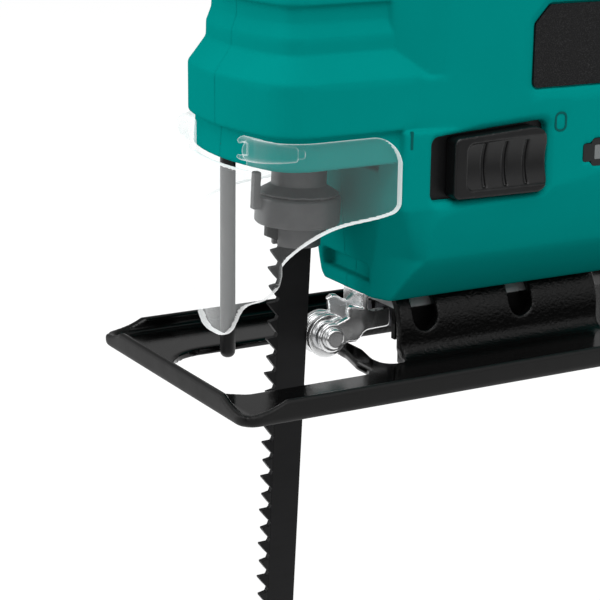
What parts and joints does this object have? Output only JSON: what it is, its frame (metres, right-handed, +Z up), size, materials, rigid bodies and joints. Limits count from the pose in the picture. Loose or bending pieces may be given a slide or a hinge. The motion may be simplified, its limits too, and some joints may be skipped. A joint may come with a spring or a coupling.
{
  "type": "cordless jigsaw",
  "caption": "Compact barrel-grip cordless jigsaw with tilting stamped shoe, clear chip shield, side slide switch, clamped blade and slide-in battery pack.",
  "frame": {"origin": "on the underside of the shoe, at the plunger line's foot: the point below the blade clamp's centre", "axes": "+X forward in the cutting direction, +Y to the tool's left, +Z up from the sole"},
  "size_m": [0.2226, 0.058, 0.1684],
  "materials": {
    "shell": "satin moulded plastic",
    "grip": "soft overmould",
    "label": "matt speckled film",
    "gauge": "smoked window",
    "led": "diffuse",
    "screw_steel": "zinc plated",
    "case_metal": "die cast",
    "bronze": "sintered",
    "felt": "felt",
    "steel": "ground",
    "can": "phosphated",
    "magnet": "ferrite",
    "black_rod": "blackened",
    "zinc": "bright zinc",
    "black_plastic": "fine grain",
    "board": "lacquered",
    "clamp_steel": "phosphated",
    "blade_steel": "blackened steel",
    "clear": "clear",
    "shoe_steel": "gloss black coat",
    "fan": "moulded",
    "cell": "sleeved"
  },
  "bodies": {
    "housing": {"left_housing": "shell", "right_housing": "shell", "housing_screws": "screw_steel", "grip_sleeve": "grip", "label_plate_left": "label", "label_plate_right": "label", "gauge_window": "gauge", "gauge_leds": "led", "gear_case": "case_metal", "lower_bush": "bronze", "plunger_seal": "felt", "upper_bush": "bronze", "gear_axle": "steel", "front_bearing": "steel", "motor_can": "can", "magnets": "magnet", "motor_end_cap": "case_metal", "rear_bearing": "steel", "guard_rod": "black_rod", "roller_bracket": "zinc", "roller_pin": "zinc", "clamp_plate": "zinc", "bevel_screws": "screw_steel", "switch_body": "black_plastic", "control_board": "board", "terminal_block": "black_plastic"},
    "armature": {"motor_shaft": "steel", "pinion": "steel", "armature_core": "steel", "commutator": "bronze", "cooling_fan": "fan"},
    "crank": {"drive_gear": "steel", "crank_pin": "steel", "crank_roller": "steel"},
    "ram": {"plunger": "steel", "yoke": "steel", "clamp_body": "clamp_steel", "clamp_spring": "steel", "blade": "blade_steel"},
    "collar": {"clamp_collar": "clamp_steel"},
    "shield": {"clear_shield": "clear"},
    "shoe": {"shoe": "shoe_steel"},
    "roller": {"roller": "zinc"},
    "switch": {"switch_knob": "black_plastic"},
    "battery": {"battery_case": "black_plastic", "battery_cells": "cell"},
    "button_left": {"battery_button_left": "black_plastic"},
    "button_right": {"battery_button_right": "black_plastic"}
  },
  "joints": [
    {"name": "crank_turn", "type": "hinge", "parent": "housing", "child": "crank", "pos_m": [-0.014, 0, 0.07], "axis": [1, 0, 0], "range_deg": [-90.2, 90.2]},
    {"name": "motor_turn", "type": "hinge", "parent": "housing", "child": "armature", "pos_m": [-0.05, 0, 0.05285], "axis": [1, 0, 0], "range_deg": [-401, 401]},
    {"name": "plunger_stroke", "type": "slide", "parent": "housing", "child": "ram", "axis": [-0.0427, 0, 0.9991], "range_m": [-0.0075, 0.0075]},
    {"name": "collar_twist", "type": "hinge", "parent": "ram", "child": "collar", "pos_m": [0, 0, 0.03], "axis": [-0.0427, 0, 0.9991], "range_deg": [0, 40], "stiffness_Nm_per_rad": 0.05},
    {"name": "shield_pull", "type": "slide", "parent": "housing", "child": "shield", "axis": [1, 0, 0], "range_m": [0, 0.03]},
    {"name": "shoe_tilt", "type": "hinge", "parent": "housing", "child": "shoe", "pos_m": [-0.03, 0, 0.006], "axis": [1, 0, 0], "range_deg": [-45, 45]},
    {"name": "roller_spin", "type": "hinge", "parent": "housing", "child": "roller", "pos_m": [-0.0058, 0, 0.0051], "axis": [0, 1, 0], "continuous": true},
    {"name": "switch_slide", "type": "slide", "parent": "housing", "child": "switch", "axis": [0.9994, -0.0357, 0], "range_m": [0, 0.0036]},
    {"name": "battery_pull", "type": "slide", "parent": "housing", "child": "battery", "axis": [-1, 0, 0], "range_m": [0, 0.06]},
    {"name": "button_left_press", "type": "slide", "parent": "battery", "child": "button_left", "axis": [0, -1, 0], "range_m": [0, 0.0018], "stiffness_N_per_m": 800},
    {"name": "button_right_press", "type": "slide", "parent": "battery", "child": "button_right", "axis": [0, 1, 0], "range_m": [0, 0.0018], "stiffness_N_per_m": 800}
  ],
  "couplings": [
    {"joint": "crank_turn", "follows": "plunger_stroke", "rad_per_m": 209.44},
    {"joint": "motor_turn", "follows": "plunger_stroke", "rad_per_m": -930.84}
  ]
}
